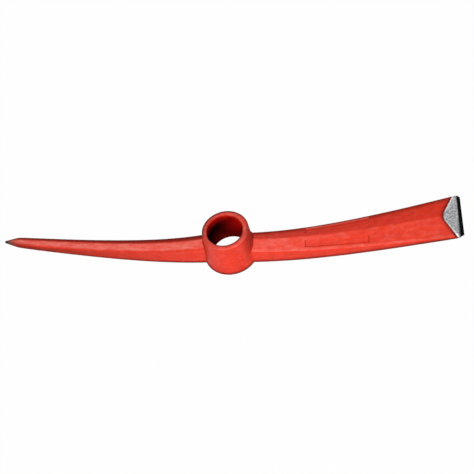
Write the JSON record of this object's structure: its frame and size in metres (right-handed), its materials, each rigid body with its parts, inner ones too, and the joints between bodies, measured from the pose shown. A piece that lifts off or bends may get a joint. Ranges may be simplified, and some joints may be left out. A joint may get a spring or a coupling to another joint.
{
  "type": "pick axe head",
  "caption": "Curved pick axe head: a tapered round eye collar for a handle, a ridged point arm and a flared chisel arm, painted red, with bare hardened steel ends.",
  "frame": {"origin": "on the axis of the eye, in the plane of the collar's wide rim", "axes": "+X towards the chisel edge, +Z along the axis of the eye towards the handle"},
  "size_m": [0.5045, 0.0608, 0.0473],
  "materials": {
    "red_paint": "semi-gloss red enamel over scaled forged steel",
    "bit_steel": "bare hardened steel, coarsely ground, with a dark land at the cutting edge",
    "tip_steel": "hardened steel, red enamel worn off to dark metal at the point"
  },
  "bodies": {
    "root": {"eye_collar": "red_paint", "point_arm": "red_paint", "chisel_arm": "red_paint", "point_tip": "tip_steel", "chisel_bit": "bit_steel", "point_arm_weld": "red_paint", "chisel_arm_weld": "red_paint"}
  },
  "joints": []
}
